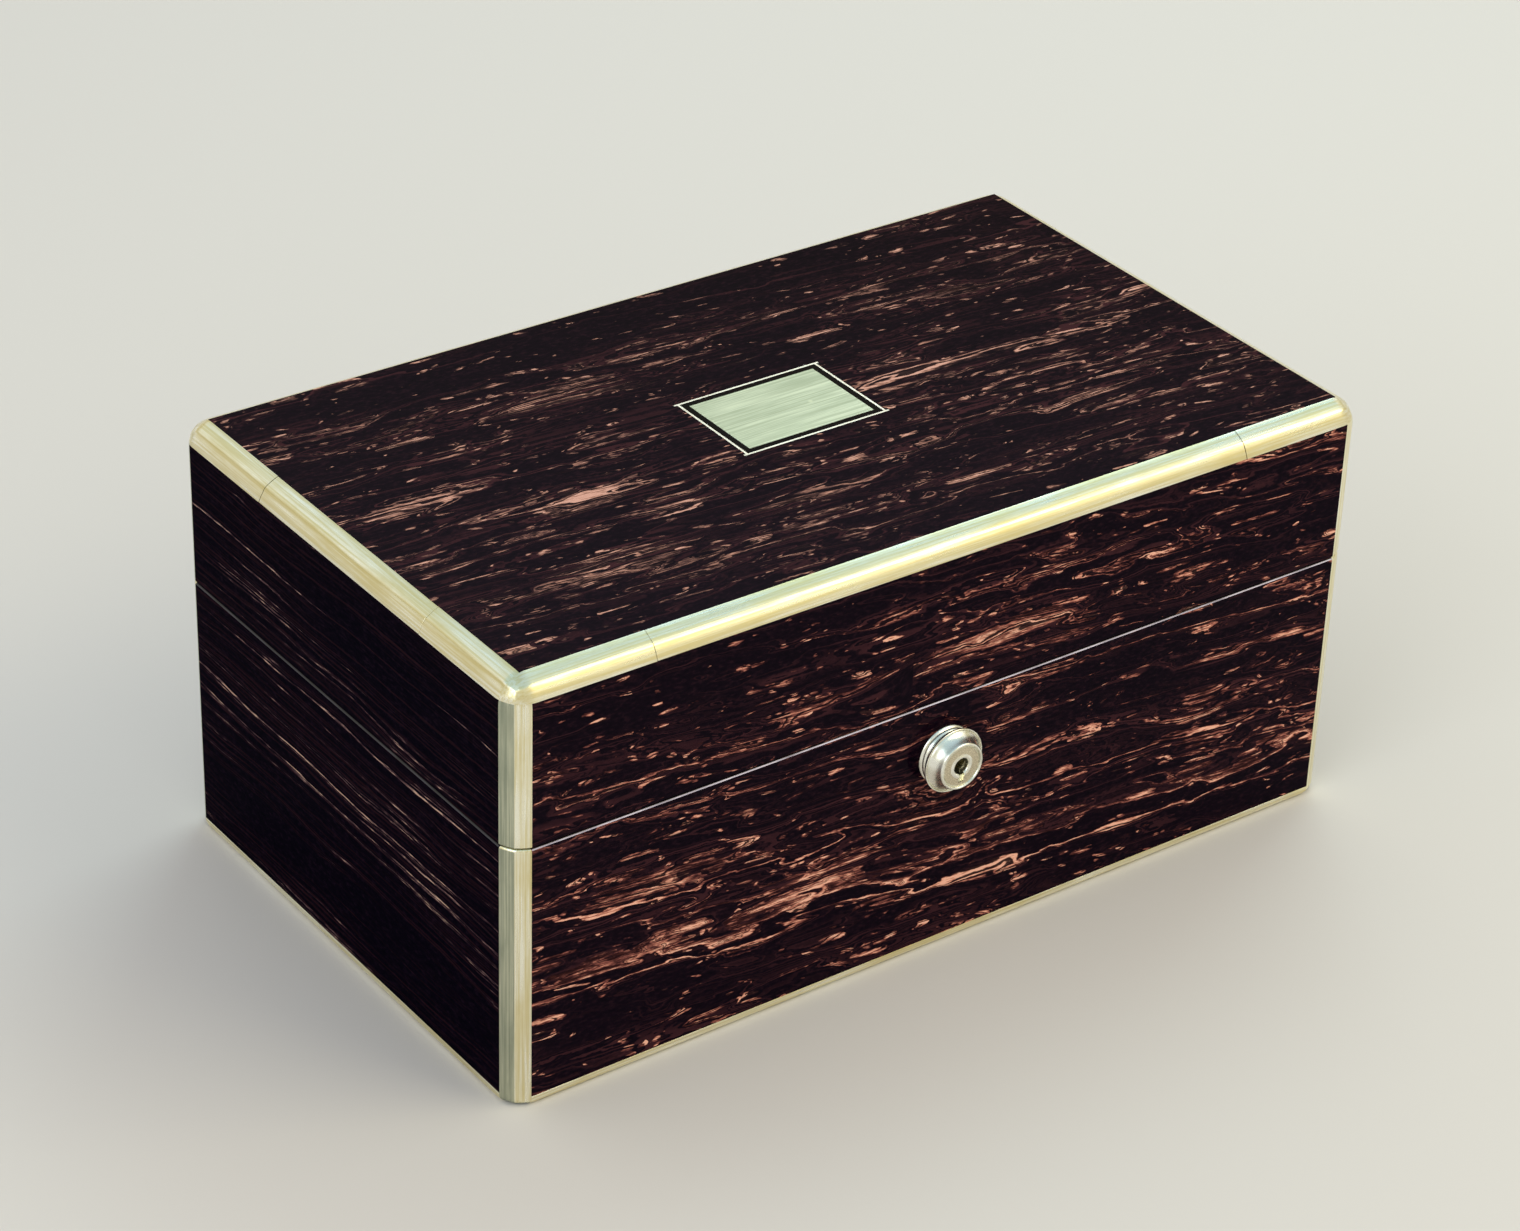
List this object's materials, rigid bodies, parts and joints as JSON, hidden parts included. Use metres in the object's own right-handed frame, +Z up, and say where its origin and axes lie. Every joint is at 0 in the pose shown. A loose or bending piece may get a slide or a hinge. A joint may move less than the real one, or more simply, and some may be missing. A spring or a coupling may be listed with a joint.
{
  "type": "travelling jewelry box",
  "caption": "Brass-bound veneered travelling jewelry box with a stop-hinged lid, nozzle lock, mirror, lined well and lift-out tray with a ring pad.",
  "frame": {"origin": "centre of the carcass at the underside of the cloth-covered bottom", "axes": "+X to the right along the length, +Y to the back, +Z up; the lock faces -Y"},
  "size_m": [0.29, 0.1844, 0.1332],
  "materials": {
    "coromandel_veneer": "French polished, high gloss, dark with red-brown figure",
    "mahogany": "waxed carcass boards",
    "ebony_line": "polished black stringing",
    "edging_brass": "old polished brass with fine lengthwise scratches",
    "lock_brass": "turned and polished brass",
    "steel": "filed steel",
    "velvet": "worn silk velvet",
    "baize": "felted wool baize",
    "leather": "thin morocco leather",
    "mirror_glass": "silvered plate glass"
  },
  "bodies": {
    "base": {"base_back_board": "mahogany", "base_back_veneer": "coromandel_veneer", "base_bottom_board": "mahogany", "base_cover": "baize", "base_front_board": "mahogany", "base_front_veneer": "coromandel_veneer", "base_left_board": "mahogany", "base_left_veneer": "coromandel_veneer", "base_post_back_left": "edging_brass", "base_post_back_right": "edging_brass", "base_post_front_left": "edging_brass", "base_post_front_right": "edging_brass", "base_right_board": "mahogany", "base_right_veneer": "coromandel_veneer", "bottom_edging_back": "edging_brass", "bottom_edging_front": "edging_brass", "bottom_edging_left": "edging_brass", "bottom_edging_right": "edging_brass", "hinge_lower_leaf_left": "lock_brass", "hinge_lower_leaf_right": "lock_brass", "hinge_pin_left": "steel", "hinge_pin_right": "steel", "lock_cap": "lock_brass", "lock_case": "lock_brass", "lock_nozzle": "lock_brass", "well_lining": "velvet"},
    "lid": {"hinge_upper_leaf_left": "lock_brass", "hinge_upper_leaf_right": "lock_brass", "lid_back_board": "mahogany", "lid_back_veneer": "coromandel_veneer", "lid_corner_back_left": "edging_brass", "lid_corner_back_right": "edging_brass", "lid_corner_front_left": "edging_brass", "lid_corner_front_right": "edging_brass", "lid_front_board": "mahogany", "lid_front_veneer": "coromandel_veneer", "lid_left_board": "mahogany", "lid_left_veneer": "coromandel_veneer", "lid_lining": "velvet", "lid_right_board": "mahogany", "lid_right_veneer": "coromandel_veneer", "lid_top_board": "mahogany", "lid_top_veneer": "coromandel_veneer", "link_plate": "lock_brass", "mirror": "mirror_glass", "mirror_frame": "leather", "plaque_brass_line": "edging_brass", "plaque_ebony_line": "ebony_line", "plaque_plate": "edging_brass", "top_binding_back": "edging_brass", "top_binding_front": "edging_brass", "top_binding_left": "edging_brass", "top_binding_right": "edging_brass"},
    "lock_barrel": {"lock_barrel": "lock_brass"},
    "lock_bolt": {"lock_bolt": "steel"},
    "tray": {"ring_pad": "velvet", "tray_box": "leather", "tray_lining": "velvet", "tray_tab_left": "leather", "tray_tab_right": "leather"}
  },
  "joints": [
    {"name": "lid_hinge", "type": "hinge", "parent": "base", "child": "lid", "pos_m": [0, 0.0879, 0.0829], "axis": [-1, 0, 0], "range_deg": [0, 100]},
    {"name": "barrel_turn", "type": "hinge", "parent": "base", "child": "lock_barrel", "pos_m": [-0.0034, -0.0855, 0.0647], "axis": [0, 1, 0], "range_deg": [0, 95]},
    {"name": "bolt_slide", "type": "slide", "parent": "base", "child": "lock_bolt", "axis": [1, 0, 0], "range_m": [0, 0.003]},
    {"name": "tray_lift", "type": "slide", "parent": "base", "child": "tray", "axis": [0, 0, 1], "range_m": [0, 0.03]}
  ],
  "couplings": [
    {"joint": "barrel_turn", "follows": "bolt_slide", "rad_per_m": 523.6}
  ]
}
